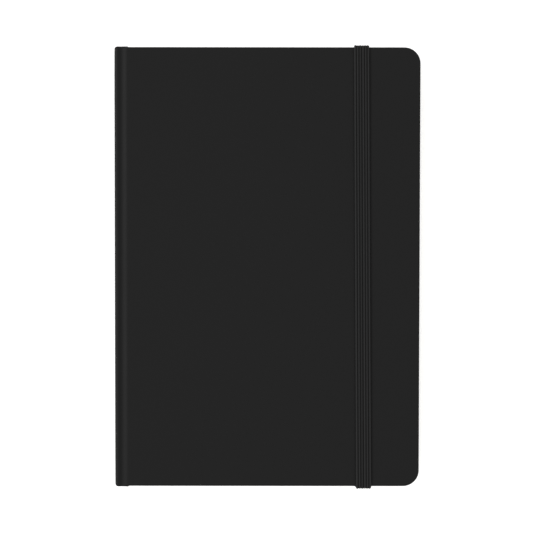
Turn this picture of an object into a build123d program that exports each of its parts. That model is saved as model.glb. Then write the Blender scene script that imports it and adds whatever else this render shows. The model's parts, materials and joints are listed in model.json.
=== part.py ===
from build123d import *
import os

os.makedirs("parts", exist_ok=True)

# A pocket notebook with hard covers, lying closed on its back cover.
# +X runs from the spine to the fore-edge, +Y from the tail to the head, +Z from the back cover to the front.
# The origin is on the table, under the middle of the book.  All sizes are in millimetres.

# ---- driving dimensions ----
cover_width = 100.0        # outer face of the spine to the fore-edge
cover_height = 144.0       # tail to head
closed_thickness = 14.0    # outer face to outer face of the covers
corner_radius = 5.25       # fore-edge corners of the covers

leatherette = 0.3          # covering material
board_thickness = 1.4      # greyboard inside each cover
endpaper = 0.15            # pastedowns and flyleaves
board_setback = 4.4        # outer face of the spine to the board's edge, where the cover bends
hinge_inset = 1.9          # outer face of the spine to the line that a cover turns on
turn_in = 13.0             # how far the leatherette folds over onto the board's inner face
outer_edge_round = 0.6     # rounding of the covering over the board's outer edges
inner_edge_round = 0.2     # the same, on the inner side
square = 2.5               # how far the covers stand out beyond the pages

spine_card_thickness = 0.8
spine_relief = 0.55        # how far the spine's card stays back from the opened cover
groove_depth = 0.65        # the crease between spine and board
shoulder_radius = 1.1      # rounding of the spine's long edges

signature_count = 12
page_corner_radius = 4.0
fold_round = 0.3           # rounding of a signature's folded edge
fold_clearance = 0.2       # hinge line to the folded edges
gauze_thickness = 0.12
gauze_length = 132.0
thread_radius = 0.12
sewing_stations = 6
sewing_pitch = 23.0

pocket_width = 75.0        # mouth to the glued edge near the fore-edge
pocket_panel_thickness = 0.25
pocket_gusset_thickness = 0.25
pocket_gusset_width = 5.0
pocket_margin = 1.0        # how far the pocket stays inside the pages' outline

strap_rib_count = 6        # cords in the elastic strap
strap_rib_pitch = 0.84
strap_thickness = 0.7
strap_offset = 81.1        # outer face of the spine to the middle of the strap
strap_bend_radius = 0.4    # middle line of the strap where it turns over a cover's edge
strap_slot_inset = 6.0     # head or tail edge to the slot in the back cover
strap_tail_length = 10.0   # length glued between the board and the turned-in leatherette
strap_tail_thickness = 0.45

# ---- derived places ----
spine_x = -cover_width / 2
fore_x = cover_width / 2
half_height = cover_height / 2
board_x = spine_x + board_setback
cover_inner = 2 * leatherette + board_thickness        # inner face of the turned-in leatherette
cover_stack = cover_inner + endpaper                   # inner face of the pastedown
hinge_x = spine_x + hinge_inset                        # both hinge lines, level with the pastedowns' faces
fold_x = hinge_x + fold_clearance                      # folded edge of every signature and flyleaf
page_x = fore_x - square
page_half_height = half_height - square
pocket_top = cover_stack + pocket_gusset_thickness + pocket_panel_thickness
pages_bottom = pocket_top + endpaper
pages_top = closed_thickness - cover_stack - endpaper
signature_thickness = (pages_top - pages_bottom) / signature_count
spine_bottom = cover_stack + spine_relief
spine_top = closed_thickness - spine_bottom
strap_x = spine_x + strap_offset
strap_width = strap_rib_count * strap_rib_pitch


def slab(x0, x1, y0, y1, z0, z1):
    """Box between two corners."""
    return Pos((x0 + x1) / 2, (y0 + y1) / 2, (z0 + z1) / 2) * Box(x1 - x0, y1 - y0, z1 - z0)


def leaf(x0, x1, reach, z0, z1, radius):
    """Flat plate from x0 to x1, reaching as far to the head as to the tail, with round fore-edge corners."""
    plate = slab(x0, x1, -reach, reach, z0, z1)
    return fillet(plate.edges().filter_by(Axis.Z).group_by(Axis.X)[-1], radius)


def to_front(shape):
    """The same piece on the front cover."""
    return mirror(shape, Plane.XY.offset(closed_thickness / 2))


def free_edges(shape, level):
    """The lowest (0) or highest (-1) edges of a cover piece, without the one along the hinge."""
    return shape.edges().group_by(Axis.Z)[level].sort_by(Axis.X)[1:]


def cover_board():
    """Greyboard of the back cover, its outer edges eased a little."""
    board = leaf(
        board_x, fore_x - leatherette, half_height - leatherette,
        leatherette, leatherette + board_thickness, corner_radius - leatherette,
    )
    return fillet(free_edges(board, 0), outer_edge_round - leatherette)


def cover_skin(board):
    """Leatherette on the back cover: outer face, three wrapped edges and the turn-ins."""
    wrap = leaf(board_x, fore_x, half_height, 0, cover_inner, corner_radius)
    wrap = fillet(free_edges(wrap, 0), outer_edge_round)
    wrap = fillet(free_edges(wrap, -1), inner_edge_round)
    bare = slab(
        board_x, fore_x - turn_in, turn_in - half_height, half_height - turn_in,
        leatherette + board_thickness, cover_inner,
    )
    return wrap - board - bare


def pastedown():
    """Endpaper glued inside the back cover: it steps down from the turn-ins onto the bare board."""
    sheet = leaf(hinge_x + endpaper, page_x, page_half_height, cover_inner, cover_stack, page_corner_radius)
    well_x = fore_x - turn_in
    well_y = half_height - turn_in
    floor_z = leatherette + board_thickness
    dish = slab(board_x, well_x, -well_y, well_y, floor_z, cover_stack)
    hollow = slab(
        board_x + endpaper, well_x - endpaper, endpaper - well_y, well_y - endpaper,
        floor_z + endpaper, cover_stack,
    )
    return sheet + dish - hollow


def hinge_strip():
    """Leatherette between the spine and the back board: round shoulder, then the crease where it bends."""
    rise = Line((spine_x, spine_bottom), (spine_x, shoulder_radius))
    shoulder = RadiusArc(rise @ 1, (spine_x + shoulder_radius, 0), -shoulder_radius)
    crease_x = (spine_x + shoulder_radius + board_x) / 2
    crease = ThreePointArc(shoulder @ 1, (crease_x, groove_depth), (board_x, 0))
    line = Wire([rise, shoulder, crease])
    doubled = strip_along_edge(line, 2 * leatherette, -half_height, half_height)
    lining = doubled - strip_along_edge(line, leatherette, -half_height, half_height)
    bare = slab(spine_x, board_x, turn_in - half_height, half_height - turn_in, 0, spine_bottom)
    to_board = slab(spine_x, board_x, -half_height, half_height, 0, spine_bottom)
    return (doubled - (lining & bare)) & to_board


def strip_along_edge(line, thickness, y0, y1):
    """Sheet with this outer line as its section, drawn in X and Z, running from y0 to y1."""
    section = make_face(Plane.XZ * line.offset_2d(thickness, side=Side.LEFT, closed=True))
    return Pos(0, y1, 0) * extrude(section, y1 - y0)


def pages():
    """The sewn signatures, back to front, with signature_1 next to the front cover."""
    block = {}
    for i in range(signature_count):
        z0 = pages_bottom + i * signature_thickness
        body = leaf(fold_x, page_x, page_half_height, z0, z0 + signature_thickness, page_corner_radius)
        folded = body.edges().filter_by(Axis.Y).group_by(Axis.X)[0]
        block[f"signature_{signature_count - i}"] = fillet(folded, fold_round)
    return block


def spine_pieces():
    """Card in the spine and the leatherette round it, turned in at the head and tail."""
    card_x = spine_x + leatherette
    card = slab(
        card_x, card_x + spine_card_thickness, leatherette - half_height, half_height - leatherette,
        spine_bottom, spine_top,
    )
    wrap = slab(
        spine_x, card_x + spine_card_thickness + leatherette, -half_height, half_height,
        spine_bottom, spine_top,
    )
    bare = slab(
        card_x + spine_card_thickness, 0, turn_in - half_height, half_height - turn_in,
        0, closed_thickness,
    )
    return card, wrap - card - bare


def sewing_thread():
    """Stretches of thread across the signatures' folds, one at each sewing station."""
    x = fold_x - thread_radius
    length = pages_top - pages_bottom - signature_thickness
    rod = Cylinder(thread_radius, length)
    middle_z = (pages_bottom + pages_top) / 2
    rows = [(i - (sewing_stations - 1) / 2) * sewing_pitch for i in range(sewing_stations)]
    return Compound(children=[Pos(x, y, middle_z) * rod for y in rows])


def spine_gauze():
    """Strip of gauze glued over the thread."""
    x1 = fold_x - 2 * thread_radius
    z0 = pages_bottom + endpaper
    z1 = pages_top - endpaper
    return slab(x1 - gauze_thickness, x1, -gauze_length / 2, gauze_length / 2, z0, z1)


def pocket():
    """Card pocket on the back pastedown, open towards the spine, with a cloth gusset at head and tail."""
    x1 = page_x - pocket_margin
    x0 = x1 - pocket_width
    reach = page_half_height - pocket_margin
    panel_z = cover_stack + pocket_gusset_thickness
    panel = leaf(x0, x1, reach, panel_z, pocket_top, page_corner_radius)
    gusset = slab(
        x0, x1 - page_corner_radius, reach - pocket_gusset_width, reach, cover_stack, panel_z,
    )
    return panel, gusset


def strap_section():
    """Cross-section of the elastic strap: a row of round cords side by side, lying flat."""
    rib = Ellipse(strap_rib_pitch / 2 * 1.04, strap_thickness / 2)
    first = -(strap_rib_count - 1) / 2 * strap_rib_pitch
    return Sketch() + [Pos(first + i * strap_rib_pitch, 0) * rib for i in range(strap_rib_count)]


def strap_loop():
    """The strap round the closed book, from one edge of the back cover over the front to the other."""
    y = half_height + strap_thickness / 2
    z = closed_thickness + strap_thickness / 2
    path = FilletPolyline(
        (strap_x, -y, 0), (strap_x, -y, z), (strap_x, y, z), (strap_x, y, 0), radius=strap_bend_radius,
    )
    start = Plane(origin=path @ 0, x_dir=(1, 0, 0), z_dir=path % 0)
    return sweep(start * strap_section(), path)


def strap_end():
    """Head end of the strap: along a recess to its slot, through the back board and glued inside it."""
    x0 = strap_x - strap_width / 2
    x1 = strap_x + strap_width / 2
    slot_y = half_height - strap_slot_inset
    board_top = leatherette + board_thickness
    outside = slab(x0, x1, slot_y, half_height, 0, strap_thickness)
    through = slab(x0, x1, slot_y, slot_y + strap_thickness, 0, board_top)
    tail = slab(
        x0, x1, slot_y - strap_tail_length, slot_y + strap_thickness, board_top - strap_tail_thickness, board_top,
    )
    return outside + through + tail


def build():
    """Every piece by its name."""
    board = cover_board()
    skin = cover_skin(board)
    end = strap_end()
    other_end = mirror(end, Plane.XZ)
    card, spine_skin = spine_pieces()
    panel, gusset = pocket()
    loop = strap_loop()
    upper = slab(-fore_x, fore_x, -cover_height, cover_height, closed_thickness - 1, 2 * closed_thickness)
    sides = loop - upper
    front_flyleaf_z = closed_thickness - cover_stack
    pieces = {
        "back_board": board - end - other_end,
        "back_cover_skin": skin - end - other_end,
        "back_pastedown": pastedown(),
        "back_hinge_strip": hinge_strip(),
        "front_board": to_front(board),
        "front_cover_skin": to_front(skin),
        "front_pastedown": to_front(pastedown()),
        "front_hinge_strip": to_front(hinge_strip()),
        "spine_card": card,
        "spine_skin": spine_skin,
        "spine_gauze": spine_gauze(),
        "sewing_thread": sewing_thread(),
        "front_flyleaf": leaf(fold_x, page_x, page_half_height, pages_top, front_flyleaf_z, page_corner_radius),
        "back_flyleaf": leaf(fold_x, page_x, page_half_height, pocket_top, pages_bottom, page_corner_radius),
        "pocket_panel": panel,
        "pocket_gusset_head": gusset,
        "pocket_gusset_tail": mirror(gusset, Plane.XZ),
        "strap_front": loop & upper,
        "strap_side_head": sides.solids().sort_by(Axis.Y)[-1],
        "strap_side_tail": sides.solids().sort_by(Axis.Y)[0],
        "strap_end_head": end,
        "strap_end_tail": other_end,
    }
    pieces.update(pages())
    return pieces


for name, piece in build().items():
    export_step(piece, f"parts/{name}.step")
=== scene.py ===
import bpy
import bmesh
import json
import math
import random
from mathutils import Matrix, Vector

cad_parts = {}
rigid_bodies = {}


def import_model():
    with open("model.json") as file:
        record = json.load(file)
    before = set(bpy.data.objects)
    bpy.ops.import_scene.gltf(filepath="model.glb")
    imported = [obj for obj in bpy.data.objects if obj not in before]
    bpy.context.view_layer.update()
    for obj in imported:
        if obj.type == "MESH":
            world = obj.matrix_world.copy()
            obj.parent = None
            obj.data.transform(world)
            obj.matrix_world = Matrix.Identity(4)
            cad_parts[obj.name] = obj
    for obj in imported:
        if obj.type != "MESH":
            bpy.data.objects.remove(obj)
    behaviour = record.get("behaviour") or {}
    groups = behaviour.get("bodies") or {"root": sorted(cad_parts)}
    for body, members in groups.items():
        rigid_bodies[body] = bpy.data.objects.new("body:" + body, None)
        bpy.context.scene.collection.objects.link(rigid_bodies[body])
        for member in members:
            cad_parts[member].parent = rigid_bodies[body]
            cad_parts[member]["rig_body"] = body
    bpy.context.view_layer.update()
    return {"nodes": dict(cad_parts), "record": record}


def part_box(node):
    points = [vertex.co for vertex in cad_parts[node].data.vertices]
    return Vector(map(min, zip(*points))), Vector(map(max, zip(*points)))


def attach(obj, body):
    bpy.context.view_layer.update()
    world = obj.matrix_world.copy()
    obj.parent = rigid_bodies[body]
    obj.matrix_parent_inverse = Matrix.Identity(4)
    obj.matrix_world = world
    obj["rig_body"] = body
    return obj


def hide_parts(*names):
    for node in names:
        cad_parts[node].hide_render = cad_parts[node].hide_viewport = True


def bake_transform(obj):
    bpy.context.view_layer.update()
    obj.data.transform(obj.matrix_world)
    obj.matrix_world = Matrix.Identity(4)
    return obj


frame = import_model()
nodes = frame["nodes"]
MM = 0.001
random.seed(7)

# ---------------------------------------------------------------- places, all from the frame
skin_low, skin_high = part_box("front_cover_skin")
spine_low, spine_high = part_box("spine_skin")
strap_low, strap_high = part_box("strap_front")
top_z = skin_high.z                      # outer face of the front cover
half_height = skin_high.y
board_x = skin_low.x                     # where the boards begin
spine_x = spine_low.x                    # outer face of the spine


# ---------------------------------------------------------------- small helpers
def piece(name, verts, faces, material, smooth=True):
    """A mesh object in the row frame, with outward normals."""
    mesh = bpy.data.meshes.new(name)
    mesh.from_pydata(verts, [], faces)
    bm = bmesh.new()
    bm.from_mesh(mesh)
    bmesh.ops.recalc_face_normals(bm, faces=bm.faces)
    bm.to_mesh(mesh)
    bm.free()
    mesh.polygons.foreach_set("use_smooth", [smooth] * len(mesh.polygons))
    mesh.materials.append(material)
    obj = bpy.data.objects.new(name, mesh)
    bpy.context.scene.collection.objects.link(obj)
    return obj


def loft(rings):
    """Vertices and faces of a closed skin over a list of equally long point rings."""
    verts = [p for ring in rings for p in ring]
    n = len(rings[0])
    faces = []
    for a in range(len(rings) - 1):
        for b in range(n):
            c = (b + 1) % n
            faces.append((a * n + b, a * n + c, (a + 1) * n + c, (a + 1) * n + b))
    last = (len(rings) - 1) * n
    faces.append(tuple(range(n - 1, -1, -1)))
    faces.append(tuple(last + i for i in range(n)))
    return verts, faces


def joined(parts):
    """One list of vertices and faces from several."""
    verts, faces = [], []
    for more_verts, more_faces in parts:
        faces += [tuple(len(verts) + i for i in face) for face in more_faces]
        verts += more_verts
    return verts, faces


def normals(line):
    """Unit normal at every point of an open line, in the plane of its points' first two numbers."""
    found = []
    for i in range(len(line)):
        before, after = line[max(i - 1, 0)], line[min(i + 1, len(line) - 1)]
        da, db = after[0] - before[0], after[1] - before[1]
        length = math.hypot(da, db)
        found.append((-db / length, da / length))
    return found


# ---------------------------------------------------------------- materials
class Shader:
    """A principled material under construction, in object coordinates."""

    def __init__(self, name, roughness, specular=0.5, sheen=0.0, sheen_roughness=0.5):
        self.material = bpy.data.materials.new(name)
        self.material.use_nodes = True
        self.tree = self.material.node_tree
        self.bsdf = self.tree.nodes["Principled BSDF"]
        self.bsdf.inputs["Roughness"].default_value = roughness
        self.bsdf.inputs["Specular IOR Level"].default_value = specular
        self.bsdf.inputs["Sheen Weight"].default_value = sheen
        self.bsdf.inputs["Sheen Roughness"].default_value = sheen_roughness
        self.place = self.node("ShaderNodeTexCoord").outputs["Object"]

    def node(self, kind, **inputs):
        made = self.tree.nodes.new(kind)
        for key, value in inputs.items():
            self.feed(made.inputs[key.replace("_", " ")], value)
        return made

    def feed(self, socket, value):
        if isinstance(value, bpy.types.NodeSocket):
            self.tree.links.new(value, socket)
        else:
            socket.default_value = value

    def noise(self, scale, detail=2.0, roughness=0.5):
        made = self.node("ShaderNodeTexNoise", Vector=self.place, Scale=scale, Detail=detail,
                         Roughness=roughness)
        return made.outputs["Fac"]

    def cells(self, scale):
        made = self.node("ShaderNodeTexVoronoi", Vector=self.place, Scale=scale)
        made.feature = "SMOOTH_F1"
        return made.outputs["Distance"]

    def wave(self, scale, direction, distortion=0.0):
        made = self.node("ShaderNodeTexWave", Vector=self.place, Scale=scale, Distortion=distortion)
        made.bands_direction = direction
        return made.outputs["Fac"]

    def math(self, operation, a, b):
        made = self.tree.nodes.new("ShaderNodeMath")
        made.operation = operation
        self.feed(made.inputs[0], a)
        self.feed(made.inputs[1], b)
        return made.outputs[0]

    def mix(self, a, share_a, b, share_b):
        """Weighted sum of two textures."""
        return self.math("ADD", self.math("MULTIPLY", a, share_a), self.math("MULTIPLY", b, share_b))

    def ramp(self, value, low, high, out_low, out_high):
        """The value's range low..high, mapped to out_low..out_high and held there at its ends."""
        made = self.node("ShaderNodeMapRange", Value=value)
        for key, number in (("From Min", low), ("From Max", high), ("To Min", out_low), ("To Max", out_high)):
            made.inputs[key].default_value = number
        return made.outputs["Result"]

    def colour(self, factor, dark, light):
        """Base colour between two tones."""
        made = self.tree.nodes.new("ShaderNodeMix")
        made.data_type = "RGBA"
        self.feed(made.inputs["Factor"], factor)
        made.inputs[6].default_value = (*dark, 1)
        made.inputs[7].default_value = (*light, 1)
        self.tree.links.new(made.outputs[2], self.bsdf.inputs["Base Color"])

    def roughness(self, factor, low, high):
        """Roughness between two values."""
        self.tree.links.new(self.ramp(factor, 0, 1, low, high), self.bsdf.inputs["Roughness"])

    def bump(self, height, depth):
        """Relief of the given depth in metres. It is the last step, and gives the finished material."""
        made = self.node("ShaderNodeBump", Height=height, Distance=depth, Strength=1.0)
        self.tree.links.new(made.outputs["Normal"], self.bsdf.inputs["Normal"])
        return self.material


def grey(value):
    return (value, value, value)


def leatherette():
    """Black bonded leatherette: fine pebbled grain with softer hollows, a little uneven in gloss."""
    s = Shader("leatherette", roughness=0.55, specular=0.17)
    wrinkle = s.cells(2600)
    pores = s.noise(9000, detail=3.0)
    cloud = s.noise(55, detail=3.0)
    grain = s.mix(wrinkle, 0.7, pores, 0.3)
    s.colour(s.mix(cloud, 0.25, grain, 0.75), grey(0.0043), grey(0.0087))
    s.roughness(s.mix(grain, 0.6, cloud, 0.4), 0.44, 0.66)
    return s.bump(grain, 0.03 * MM)


def elastic():
    """Black knitted elastic: rows of stitches along every cord, with painted shade in the gaps between cords
    and on the strap's outer sides, and a painted highlight on the cords' tops.
    """
    s = Shader("elastic", roughness=0.75, specular=0.16, sheen=0.02)
    stitch = s.wave(1500, direction="Y", distortion=1.5)
    fibre = s.noise(6000)
    crown = s.tree.nodes.new("ShaderNodeAttribute")
    crown.attribute_name = "crown"           # written on the mesh by strap_piece
    # painted shade and highlight: dark in the gaps between cords and on the strap's outer sides, light on the
    # cords' tops
    height = s.ramp(crown.outputs["Fac"], 0.72, 1.0, 0.0, 1.0)
    painted_shade_and_stitch = s.mix(height, 0.75, s.math("MULTIPLY", stitch, fibre), 0.35)
    s.colour(painted_shade_and_stitch, grey(0.0012), grey(0.0285))
    s.roughness(fibre, 0.65, 0.85)
    return s.bump(s.math("ADD", stitch, s.math("MULTIPLY", fibre, 0.6)), 0.04 * MM)


def paper(name, dark, light):
    """Uncoated paper: faint fibre, slightly cloudy tone."""
    s = Shader(name, roughness=0.85, specular=0.2)
    fibre = s.noise(2500, detail=4.0, roughness=0.6)
    cloud = s.noise(60)
    s.colour(s.mix(fibre, 0.5, cloud, 0.5), dark, light)
    s.roughness(fibre, 0.78, 0.92)
    return s.bump(fibre, 0.006 * MM)


def greyboard():
    """Raw recycled board: coarse grey-brown fibre."""
    s = Shader("greyboard", roughness=0.9, specular=0.2)
    fibre = s.noise(1800, detail=5.0, roughness=0.7)
    s.colour(fibre, (0.16, 0.145, 0.12), (0.34, 0.31, 0.26))
    s.roughness(fibre, 0.82, 0.95)
    return s.bump(fibre, 0.03 * MM)


def weave(name, dark, light, fineness):
    """Plain-woven cloth: two crossing sets of threads, about half as many in a metre as fineness says."""
    s = Shader(name, roughness=0.85, specular=0.3, sheen=0.1)
    warp = s.wave(fineness / 6.28, direction="X")
    weft = s.wave(fineness / 6.28, direction="Y")
    cloth = s.math("MULTIPLY", warp, weft)
    s.colour(cloth, dark, light)
    s.roughness(cloth, 0.75, 0.92)
    return s.bump(cloth, 0.06 * MM)


MATERIALS = {
    "leatherette": leatherette(),
    "greyboard": greyboard(),
    "endpaper": paper("endpaper", (0.74, 0.685, 0.55), (0.80, 0.75, 0.62)),
    "page_paper": paper("page_paper", (0.78, 0.725, 0.59), (0.84, 0.79, 0.66)),
    "elastic": elastic(),
    "gusset_cloth": weave("gusset_cloth", grey(0.008), grey(0.022), 3000),
    "gauze": weave("gauze", (0.45, 0.42, 0.34), (0.75, 0.72, 0.64), 1200),
    "thread": weave("thread", (0.5, 0.48, 0.42), (0.8, 0.78, 0.7), 4000),
}
for entry in frame["record"]["subparts"]:
    slots = nodes[entry["node"]].data.materials
    slots.clear()
    slots.append(MATERIALS[entry["material_slot"]])


# ---------------------------------------------------------------- leaves
LEAVES = 8                               # in one signature, as four folded sheets
PAPER_FILL = 0.95                        # share of a leaf's pitch that is paper
PAGE_CORNER = 4 * MM
THREAD_ROOM = 0.17 * MM                  # folds to the sewing thread, so that lifted leaves clear it
LEAF_BEND = 1.6 * MM                     # how far from its fold a leaf's stations lie close together
ARC_STEPS = 8                            # in a leaf's bend, its round corner and its fold
TRIM_SHIFT, TRIM_HEIGHT, TRIM_EDGE = 0.05, 0.07, 0.12   # mm by which sheets differ: place, height, fore-edge
PAPER_CREASE = math.radians(40)          # sharper edges than this are shaded as edges


def leaf_stations(x0, x1, half_y):
    """(x, half height) from the fold to the fore-edge, close together at the bend and the round corner."""
    stations = [(x0 + LEAF_BEND * i / ARC_STEPS, half_y) for i in range(ARC_STEPS + 1)]
    stations += [(x0 + 2 * LEAF_BEND, half_y), ((x0 + x1) / 2, half_y)]
    for i in range(ARC_STEPS + 1):
        turn = math.pi / 2 * i / ARC_STEPS
        x = x1 - PAGE_CORNER * (1 - math.sin(turn))
        stations.append((x, half_y - PAGE_CORNER * (1 - math.cos(turn))))
    return stations


def paper_strip(places, thickness):
    """Mesh of a folded sheet: places along it are (x, y offset, half height, z, normal x, normal z)."""
    rings = []
    for x, y, half, z, nx, nz in places:
        dx, dz = nx * thickness / 2, nz * thickness / 2
        rings.append([(x - dx, y - half, z - dz), (x - dx, y + half, z - dz),
                      (x + dx, y + half, z + dz), (x + dx, y - half, z + dz)])
    return loft(rings)


def folded_sheet(x0, x1, half_y, z0, z1, thickness):
    """A sheet folded in two: one leaf, round the fold at x0, and back along the other."""
    radius = (z1 - z0) / 2
    middle = (z0 + z1) / 2
    shift = random.uniform(-TRIM_SHIFT, TRIM_SHIFT) * MM
    half_y += random.uniform(-TRIM_HEIGHT, 0.0) * MM
    places = []
    for side in (-1, 1):
        trim = x1 + random.uniform(-TRIM_EDGE, 0.0) * MM
        leaf = [(x, shift, half, middle + side * radius, 0, -side)
                for x, half in leaf_stations(x0 + radius, trim, half_y)]
        places += leaf if side > 0 else leaf[::-1]
        if side < 0:
            for i in range(1, ARC_STEPS):
                turn = math.pi * i / ARC_STEPS
                nx, nz = math.sin(turn), math.cos(turn)
                places.append((x0 + radius - radius * nx, shift, half_y, middle - radius * nz, nx, nz))
    return paper_strip(places, thickness)


def signature(node):
    """Four sheets folded one inside the other, every one trimmed a hair differently."""
    low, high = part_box(node)
    pitch = (high.z - low.z) / LEAVES
    parts = []
    for k in range(LEAVES // 2):
        inset = (k + 0.5) * pitch
        fold_x = low.x + inset + THREAD_ROOM
        parts.append(folded_sheet(fold_x, high.x, high.y, low.z + inset, high.z - inset, pitch * PAPER_FILL))
    obj = piece(node + "_leaves", *joined(parts), MATERIALS["page_paper"])
    obj.data.set_sharp_from_angle(angle=PAPER_CREASE)
    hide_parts(node)
    return obj


def turned(obj):
    """The piece's place is baked into its mesh; it goes with no body."""
    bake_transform(obj)


def text_pages():
    """Every signature, and the front flyleaf. The signatures that turn over, and the flyleaf, get their place
    baked in and go with no body; the rest go with their bodies.
    """
    for entry in frame["record"]["subparts"]:
        node = entry["node"]
        if node.startswith("signature_"):
            body = nodes[node]["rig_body"]
            obj = signature(node)
            if body in ("pages_1", "pages_2"):
                turned(obj)
            else:
                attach(obj, body)
    low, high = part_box("front_flyleaf")
    middle = (low.z + high.z) / 2
    places = [(x, 0, half, middle, 0, 1) for x, half in leaf_stations(low.x, high.x, high.y)]
    sheet = paper_strip(places, PAPER_FILL * (high.z - low.z))
    flyleaf = piece("front_flyleaf_sheet", *sheet, MATERIALS["endpaper"])
    flyleaf.data.set_sharp_from_angle(angle=PAPER_CREASE)
    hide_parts("front_flyleaf")
    turned(flyleaf)


# ---------------------------------------------------------------- covering over the joints
LEATHER = 0.3 * MM
TURN_IN = 13 * MM                        # how far the covering is folded in at head and tail
TURN_IN_STEP = 0.15 * MM                 # over which its thickness halves where the fold ends
SHOULDER = 1.0 * MM                      # rounding between the spine's face and the cover
SPINE_DROP = 0.08 * MM                   # how much lower the spine's shoulder is than the cover
GROOVE = 0.38 * MM                       # depth of the groove beside the spine
GROOVE_X = 2.3 * MM                      # outer face of the spine to the bottom of the groove
LINE_STEPS = (5, 6, 6, 12)               # up the spine, round the shoulder, into the groove and out of it
JOINT_OVERHANG = 0.2 * MM                # the folded covering stands out past the boards at head and tail
CORNER_ROUND = 0.9 * MM                  # corner of the spine at head and tail, seen from the front
END_ROUND = ((0.0, 0.34), (0.04, 0.2), (0.14, 0.09), (0.32, 0.02), (0.7, 0.0))   # mm in from the end, mm down
SPINE_FOLD = ((0.0, 0.25), (0.07, 0.07), (0.25, 0.0))   # mm in and mm down, at the spine's folded-in ends
CORNER_STEPS = 6
CHEEK_GAP = 0.1 * MM                     # board's end to the turn-in beside the spine
ENDPAPER = 0.1 * MM
PAPER_INSET = 0.07 * MM                  # middle of an endpaper's turn, in from the faces it joins
PAPER_LAP = 0.3 * MM                     # how far its ends go in beside those faces
TURN_FLAT = 0.6                          # share of its height over which it stands upright
FRONT_BULGE, BACK_BULGE = 0.12 * MM, 0.1 * MM
LEATHER_CREASE = math.radians(50)


def joint_line(rise):
    """Outer line of the covering from the spine's card to a board, as (in from the spine, down)."""
    up, around, into, out_of = LINE_STEPS
    line = [(0, rise - (rise - SHOULDER) * i / up) for i in range(up)]
    for i in range(around + 1):
        turn = math.pi / 2 * i / around
        line.append((SHOULDER * (1 - math.cos(turn)), SHOULDER * (1 - math.sin(turn)) + SPINE_DROP))
    for i in range(1, into + 1):
        t = i / into
        ease = (1 - math.cos(math.pi * t)) / 2
        line.append((SHOULDER + (GROOVE_X - SHOULDER) * t, SPINE_DROP + (GROOVE - SPINE_DROP) * ease))
    width = board_x - spine_x
    for i in range(1, out_of + 1):
        t = i / out_of
        ease = (1 + math.cos(math.pi * t)) / 2
        line.append((GROOVE_X + (width - GROOVE_X) * t, GROOVE * ease))
    return line


def offset_line(line, depth):
    """The same line, moved inward by depth along its own normals."""
    return [(x + nx * depth, d + nd * depth) for (x, d), (nx, nd) in zip(line, normals(line))]


def joint_strip(name, node, outer_z, inward):
    """Leatherette from the spine over the groove to a board, doubled where it is turned in at its ends."""
    low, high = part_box(node)
    line = joint_line(high.z - low.z)
    end_y = high.y + JOINT_OVERHANG
    stations = [(end_y - y * MM, d * MM, 2 * LEATHER) for y, d in END_ROUND]
    stations += [(high.y - TURN_IN, 0, 2 * LEATHER), (high.y - TURN_IN - TURN_IN_STEP, 0, LEATHER)]
    stations += [(0, 0, LEATHER)]
    stations += [(-y, d, thick) for y, d, thick in stations[-2::-1]]
    rings = []
    for y, drop, thick in stations:
        ring = offset_line(line, drop) + offset_line(line, thick)[::-1]
        reach = min(end_y - abs(y), CORNER_ROUND)
        tuck = CORNER_ROUND - math.sqrt(CORNER_ROUND ** 2 - (CORNER_ROUND - reach) ** 2)
        rings.append([(spine_x + x + tuck * max(1 - x / SHOULDER, 0), y, outer_z + inward * d)
                      for x, d in ring])
    obj = piece(name, *loft(rings), MATERIALS["leatherette"])
    obj.data.set_sharp_from_angle(angle=LEATHER_CREASE)
    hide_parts(node)
    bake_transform(obj)


def spine_covering():
    """Leatherette round the spine's card, drawn in at the corners and turned in at head and tail."""
    end_y, half = half_height + JOINT_OVERHANG, LEATHER / 2
    inner_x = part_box("spine_card")[1].x - spine_x + half
    end = [(inner_x, half_height - TURN_IN)]
    end += [(inner_x - x * MM, end_y - half - y * MM) for x, y in SPINE_FOLD]
    reach = CORNER_ROUND - half
    for i in range(CORNER_STEPS + 1):
        turn = math.pi / 2 * (1 + i / CORNER_STEPS)
        end.append((CORNER_ROUND + reach * math.cos(turn), end_y - CORNER_ROUND + reach * math.sin(turn)))
    path = end + [(x, -y) for x, y in end[::-1]]
    rings = []
    section = ((-1, spine_low.z), (-1, spine_high.z), (1, spine_high.z), (1, spine_low.z))
    for (x, y), (nx, ny) in zip(path, normals(path)):
        rings.append([(spine_x + x + side * nx * half, y + side * ny * half, z) for side, z in section])
    obj = piece("spine_covering", *loft(rings), MATERIALS["leatherette"])
    obj.data.set_sharp_from_angle(angle=LEATHER_CREASE)
    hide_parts("spine_skin")
    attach(obj, "text_block")


def board_cheeks(cover, board, low_z, high_z):
    """Turned-in leatherette over the board's edge beside the spine, at head and tail."""
    for name, end in (("head", half_height - CHEEK_GAP), ("tail", TURN_IN - half_height)):
        rings = [[(board_x - LEATHER, y, low_z), (board_x - LEATHER, y, high_z),
                  (board_x, y, high_z), (board_x, y, low_z)] for y in (end - TURN_IN + CHEEK_GAP, end)]
        obj = piece(f"{board}_turn_in_{name}", *loft(rings), MATERIALS["leatherette"], smooth=False)
        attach(obj, cover)


def endpaper_fold(name, points, half_y):
    """The short turn of paper between a pastedown and its flyleaf."""
    places = [(x, 0, half_y, z, nx, nz) for (x, z), (nx, nz) in zip(points, normals(points))]
    obj = piece(name, *paper_strip(places, ENDPAPER), MATERIALS["endpaper"])
    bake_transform(obj)


def paper_turn(x, z0, z1, bulge):
    """Line of a sheet that comes in at z0, turns back at x and leaves at z1."""
    middle = [(x - bulge, z0 + (z1 - z0) * ((1 - TURN_FLAT) / 2 + TURN_FLAT * i / 4)) for i in range(5)]
    return [(x + PAPER_LAP, z0), (x, z0), *middle, (x, z1), (x + PAPER_LAP, z1)]


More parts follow.
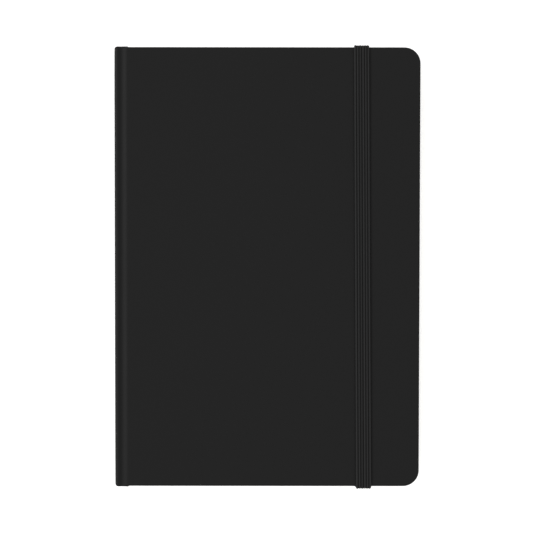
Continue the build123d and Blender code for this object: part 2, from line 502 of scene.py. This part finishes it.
def joints():
    """Covering and endpapers where the covers turn."""
    joint_strip("front_joint", "front_hinge_strip", top_z, -1)
    joint_strip("back_joint", "back_hinge_strip", 0, 1)
    spine_covering()
    board_low, board_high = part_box("front_board")
    board_cheeks("front_cover", "front_board", board_low.z - LEATHER, board_high.z - LEATHER)
    board_low, board_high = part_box("back_board")
    board_cheeks("back_cover", "back_board", board_low.z + LEATHER, board_high.z + LEATHER)
    fly_low, fly_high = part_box("front_flyleaf")
    z0, z1 = fly_high.z - PAPER_INSET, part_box("front_pastedown")[0].z + PAPER_INSET
    x = fly_low.x
    endpaper_fold("front_endpaper_fold", paper_turn(x, z0, z1, FRONT_BULGE),
                  fly_high.y)
    z0, z1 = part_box("back_pastedown")[1].z - PAPER_INSET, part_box("back_flyleaf")[0].z + PAPER_INSET
    endpaper_fold("back_endpaper_fold", paper_turn(x, z0, z1, BACK_BULGE),
                  fly_high.y)


# ---------------------------------------------------------------- elastic strap
CORDS = 6
CORD_POINTS = 8                          # along the top of one cord's section
CORD_SHAPE = 2.2                         # a section with 2 would be round, with more it is flatter
CORD_HEIGHTS = (1.0, 0.8, 0.9, 0.78, 0.84, 0.92)
# lightness of each cord's painted shading: the first cord, on the key light's side, is painted lighter as a
# highlight, and the others differ a little from cord to cord
CORD_PAINTED_LIGHTNESS = (1.06, 1.0, 0.95, 1.01, 0.98, 1.0)
CORD_VALLEY = 0.8                        # depth of the gap between cords, as a share of half the thickness
CORD_CREASE = math.radians(75)
STRAP_HEAD, STRAP_TAIL = -0.4 * MM, 0.7 * MM   # the strap lies a little slanted over the front cover
SIDE_WIDTH = 0.9                         # the strap is this much narrower where it is pulled over the edges
TAIL_SLACK = 0.18 * MM                   # the strap stands a little off the covers at the tail
STRAP_TURN = 0.75 * MM                   # radius of its middle line over the covers' edges
TURN_STEPS, SIDE_STEPS, SPAN_STEPS = 6, 24, 60
STRAP_THICK = strap_high.z - top_z
STRAP_WIDTH = strap_high.x - strap_low.x + 0.2 * MM   # 0.1 mm past the CAD strap at each side
SIDE_BEND_TOP = 4.5 * MM                 # the sides' lower piece reaches up to here, and their upper piece goes on above
SIDE_TOP_DROP = 1.0 * MM                 # top of the sides, below the front cover's face
SPAN_START = 0.5 * MM                    # straight part of the front span to the turns at its ends
SLOT_INSET = 6 * MM                      # slots in the back cover, in from head and tail
LET_IN = 0.9 * MM                        # how far the ends go up into the slots


def strap_profile():
    """Section of the strap as (across, out, crown): over cords side by side, and back underneath. The crown,
    times each cord's lightness, is kept as the painted shade and highlight of the cords.
    """
    pitch = STRAP_WIDTH / CORDS
    top = []
    for i in range(CORDS):
        for k in range(CORD_POINTS):
            u = (k + 0.5) / CORD_POINTS * 2 - 1
            outside = (i == 0 and u < 0) or (i == CORDS - 1 and u > 0)
            depth = 1 if outside else CORD_VALLEY
            crown = math.sqrt(1 - abs(u) ** CORD_SHAPE)
            height = CORD_HEIGHTS[i] * (1 - depth * (1 - crown))
            across = (i + 0.5 + u / 2) * pitch - STRAP_WIDTH / 2
            top.append((across, height * STRAP_THICK / 2, crown * CORD_PAINTED_LIGHTNESS[i]))
    return top + [(across, -out, crown) for across, out, crown in reversed(top)]


def strap_piece(name, node, path):
    """The strap along (y, z, x offset, width share) points, its section square to the path."""
    profile = strap_profile()
    middle_x = (strap_low.x + strap_high.x) / 2
    rings = []
    for (y, z, shift, width), (ny, nz) in zip(path, normals(path)):
        rings.append([(middle_x + shift + across * width, y + out * ny, z + out * nz)
                      for across, out, _ in profile])
    obj = piece(name, *loft(rings), MATERIALS["elastic"])
    # painted shade and highlight of the cords, dark in the gaps and light on their tops, kept on the mesh for
    # the elastic's colour
    crown = obj.data.attributes.new("crown", "FLOAT", "POINT")
    crown.data.foreach_set("value", [painted_crown_shade for ring in rings for _, _, painted_crown_shade in profile])
    obj.data.set_sharp_from_angle(angle=CORD_CREASE)
    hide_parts(*node)
    return obj


def straight(a, b, count):
    """Points from a to b, a included and b not."""
    return [tuple(p + (q - p) * i / count for p, q in zip(a, b)) for i in range(count)]


def quarter(y, z, shift, side, up, to_side):
    """Quarter turn of the strap about the point at (y, z), from its full width to its width at the side."""
    points = []
    for i in range(TURN_STEPS + 1):
        turn = math.pi / 2 * (1 - i / TURN_STEPS)
        dy, dz = side * STRAP_TURN * math.cos(turn), up * STRAP_TURN * math.sin(turn)
        points.append((y + dy, z + dz, shift, 1 + (SIDE_WIDTH - 1) * i / TURN_STEPS))
    return points if to_side else points[::-1]


def strap():
    """Front span, two sides each made of a lower and an upper piece, and two ends let into the back cover."""
    side_y, span_z, floor_z = half_height + STRAP_THICK / 2, top_z + STRAP_THICK / 2, STRAP_THICK / 2
    in_y, in_z = side_y - STRAP_TURN, span_z - STRAP_TURN
    side_base, side_turned, side_top = floor_z + STRAP_TURN, SIDE_BEND_TOP, top_z - SIDE_TOP_DROP
    slot_y = half_height - SLOT_INSET + STRAP_THICK / 2
    head, tail = STRAP_HEAD, STRAP_TAIL
    tail_y = -in_y - TAIL_SLACK
    front = [(tail_y - STRAP_TURN, side_top, tail, SIDE_WIDTH), *quarter(tail_y, in_z, tail, -1, 1, False)]
    front += straight((tail_y + SPAN_START, span_z, tail, 1), (in_y - SPAN_START, span_z, head, 1),
                      SPAN_STEPS)
    front += [*quarter(in_y, in_z, head, 1, 1, True), (side_y, side_top, head, SIDE_WIDTH)]
    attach(strap_piece("strap_front_span", ["strap_front"], front), "strap_front")
    for name, side, shift, slack in (("head", 1, head, 0), ("tail", -1, tail, TAIL_SLACK)):
        y = side * (side_y + slack)
        low, mid, high = ((y, z, dx, SIDE_WIDTH)
                          for z, dx in ((side_base, 0), (side_turned, 0), (side_top, shift)))
        bent = [*straight(low, mid, SIDE_STEPS), mid]
        stretched = [*straight(mid, high, SIDE_STEPS), high]
        node = f"strap_side_{name}"
        lower = strap_piece(node + "_lower", [node], bent[::-side])
        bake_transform(lower)
        upper = strap_piece(node + "_upper", [node], stretched[::-side])
        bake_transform(upper)
        let_in = [(side * slot_y, floor_z + LET_IN, 0, 1), (side * slot_y, floor_z, 0, 1),
                  *quarter(side * (in_y + slack), side_base, 0, side, -1, True)]
        end = strap_piece(f"strap_end_{name}_let_in", [f"strap_end_{name}"], let_in[::side])
        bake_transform(end)


# ---------------------------------------------------------------- pocket
GUSSET_CLOTH = 0.09 * MM
GUSSET_FOLD = 0.05 * MM                  # how far the fold stands in past the gusset's box
GUSSET_LEAN = 0.3                        # share of the height that each of its two layers climbs
ACROSS_STEPS, ALONG_STEPS = 10, 36


def gusset(node, side):
    """Cloth folded once inward between the back pastedown and the pocket's panel."""
    low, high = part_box(node)
    outer, inner = (high.y, low.y) if side > 0 else (low.y, high.y)
    z0, z1 = low.z + GUSSET_CLOTH / 2, high.z - GUSSET_CLOTH / 2
    line = [(outer + (inner - outer) * i / ACROSS_STEPS, z0 + (z1 - z0) * GUSSET_LEAN * i / ACROSS_STEPS)
            for i in range(ACROSS_STEPS + 1)]
    line += [(inner - side * GUSSET_FOLD, (z0 + z1) / 2)]
    line += [(y, z0 + z1 - z) for y, z in line[-2::-1]]
    thick = GUSSET_CLOTH / 2
    rings = []
    for i in range(ALONG_STEPS + 1):
        x = low.x + (high.x - low.x) * i / ALONG_STEPS
        rings.append([(x, y, z - thick) for y, z in line] + [(x, y, z + thick) for y, z in line[::-1]])
    obj = piece(node + "_cloth", *loft(rings), MATERIALS["gusset_cloth"])
    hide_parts(node)
    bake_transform(obj)


text_pages()
joints()
strap()
gusset("pocket_gusset_head", 1)
gusset("pocket_gusset_tail", -1)


# ---------------------------------------------------------------- floor, light, camera
FLOOR_SIZE = 4.0
FLOOR_GLOW = 0.5                         # lifts the shadows of a white backdrop
WORLD_LIGHT = 0.42
# name, strength, and in degrees: azimuth, elevation, spread
SUNS = (("overhead", 1.1, 100, 86, 120), ("key", 1.25, 175, 40, 24))
FRAME_WIDTH = 0.1746                     # what the picture spans at the front cover
SENSOR_MM = 36
CAMERA_DISTANCE = 0.6
CAMERA_TILT = math.radians(2.35)
CAMERA_ROLL = math.radians(0.065)
AIM = Vector((-0.00022, 0.0004, top_z))


def floor():
    """Plain pale floor under the book."""
    size = FLOOR_SIZE
    s = Shader("floor", roughness=0.9, specular=0.1)
    s.colour(s.noise(3, detail=1.0), grey(0.88), grey(0.9))
    s.bsdf.inputs["Emission Color"].default_value = (1, 1, 1, 1)
    s.bsdf.inputs["Emission Strength"].default_value = FLOOR_GLOW
    corners = [(-size, -size, 0), (size, -size, 0), (size, size, 0), (-size, size, 0)]
    piece("floor", corners, [(0, 1, 2, 3)], s.material)


def sun(name, strength, azimuth, elevation, spread):
    """A sun lamp that shines from the given azimuth and elevation."""
    lamp = bpy.data.lights.new(name, "SUN")
    lamp.energy = strength
    lamp.angle = math.radians(spread)
    obj = bpy.data.objects.new(name, lamp)
    bpy.context.scene.collection.objects.link(obj)
    az, el = math.radians(azimuth), math.radians(elevation)
    towards = Vector((math.cos(el) * math.cos(az), math.cos(el) * math.sin(az), math.sin(el)))
    obj.rotation_euler = towards.to_track_quat("Z", "Y").to_euler()


def studio():
    """Even white light from all round, with two soft suns."""
    world = bpy.data.worlds.new("studio")
    world.use_nodes = True
    world.node_tree.nodes["Background"].inputs["Color"].default_value = (1, 1, 1, 1)
    world.node_tree.nodes["Background"].inputs["Strength"].default_value = WORLD_LIGHT
    bpy.context.scene.world = world
    bpy.context.scene.view_settings.view_transform = "Standard"
    for entry in SUNS:
        sun(*entry)


def camera():
    """From above the front cover, tilted and turned as in the photo."""
    lens = bpy.data.cameras.new("camera")
    lens.sensor_width = SENSOR_MM
    lens.lens = lens.sensor_width * CAMERA_DISTANCE / FRAME_WIDTH
    obj = bpy.data.objects.new("camera", lens)
    bpy.context.scene.collection.objects.link(obj)
    obj.rotation_euler = (-CAMERA_TILT, 0, CAMERA_ROLL)
    away = obj.rotation_euler.to_matrix() @ Vector((0, 0, 1))
    obj.location = AIM + CAMERA_DISTANCE * away
    bpy.context.scene.camera = obj


floor()
studio()
camera()
